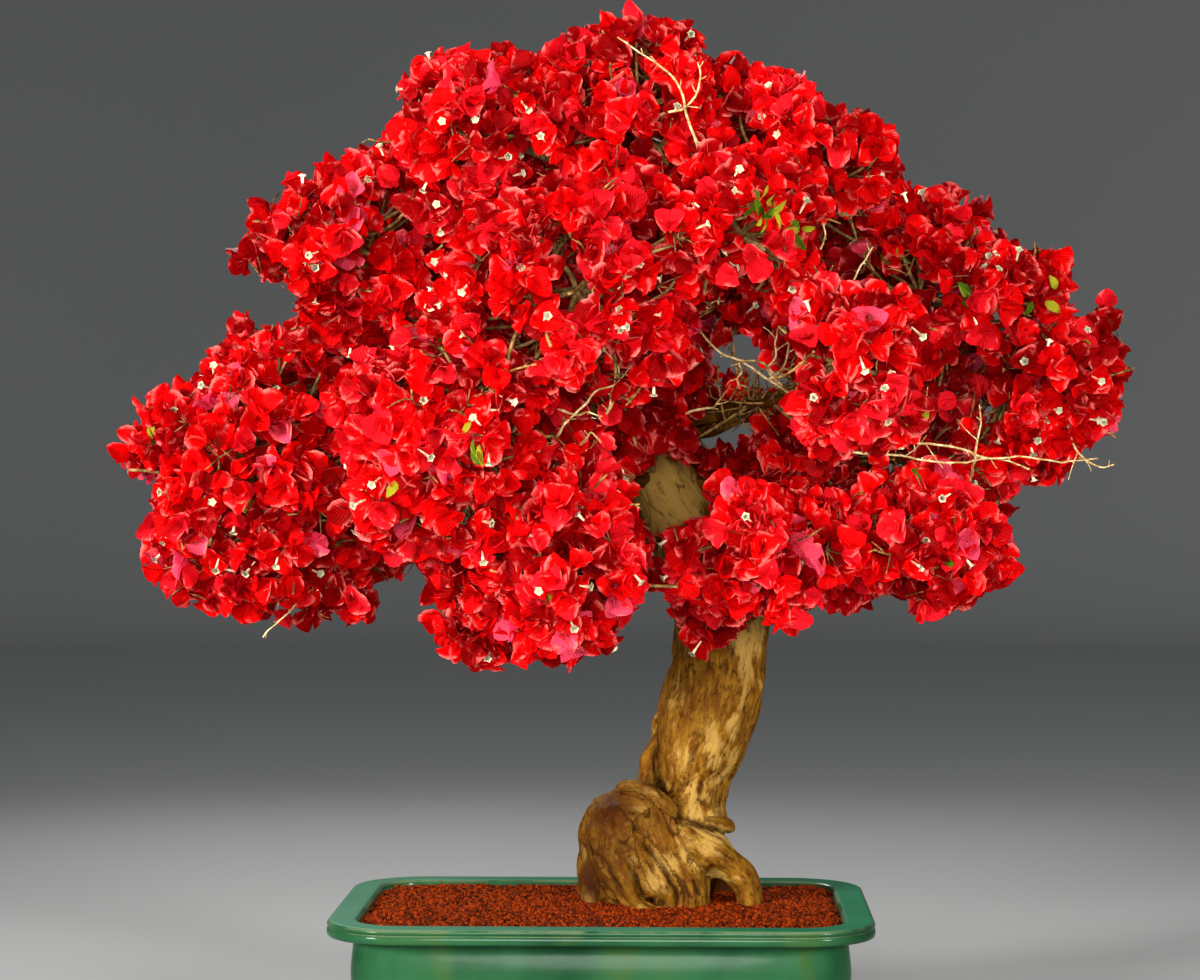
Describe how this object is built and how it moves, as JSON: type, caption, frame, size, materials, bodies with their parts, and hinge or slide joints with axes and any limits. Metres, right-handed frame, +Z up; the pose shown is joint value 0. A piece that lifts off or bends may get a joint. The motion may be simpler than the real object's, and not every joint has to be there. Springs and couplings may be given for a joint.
{
  "type": "bonsai bougainvillea in a glazed pot",
  "caption": "Bonsai bougainvillea with a swollen trunk, spreading boughs and dense clouds of red bracts, growing from red clay grit in a rectangular green-glazed pot.",
  "frame": {"origin": "on the ground under the centre of the pot", "axes": "+Z up along the trunk, +X to the viewer's right, -Y towards the viewer in the front view"},
  "size_m": [0.8845, 0.5953, 0.9093],
  "materials": {
    "green_glaze": "glossy pooled glaze",
    "red_clay_grit": "matte granular fill",
    "tan_bark": "rough bark",
    "red_bracts": "thin papery bracts"
  },
  "bodies": {
    "root": {"pot": "green_glaze", "soil": "red_clay_grit", "trunk": "tan_bark", "bough_left_low": "tan_bark", "bough_left_shoulder": "tan_bark", "bough_top_left": "tan_bark", "bough_apex": "tan_bark", "bough_top_right": "tan_bark", "bough_right_shoulder": "tan_bark", "bough_right_tip": "tan_bark", "bough_right_low": "tan_bark", "bough_trunk_front": "tan_bark", "bough_front_centre": "tan_bark", "bough_front_left": "tan_bark", "bough_front_low": "tan_bark", "bough_front_right": "tan_bark", "bough_front_upper": "tan_bark", "bough_back_left": "tan_bark", "bough_back_top_left": "tan_bark", "bough_back_top": "tan_bark", "bough_back_right": "tan_bark", "bough_back_low": "tan_bark", "left_low": "red_bracts", "left_shoulder": "red_bracts", "top_left": "red_bracts", "apex": "red_bracts", "top_right": "red_bracts", "right_shoulder": "red_bracts", "right_tip": "red_bracts", "right_low": "red_bracts", "trunk_front": "red_bracts", "front_centre": "red_bracts", "front_left": "red_bracts", "front_low": "red_bracts", "front_right": "red_bracts", "front_upper": "red_bracts", "back_left": "red_bracts", "back_top_left": "red_bracts", "back_top": "red_bracts", "back_right": "red_bracts", "back_low": "red_bracts"}
  },
  "joints": []
}
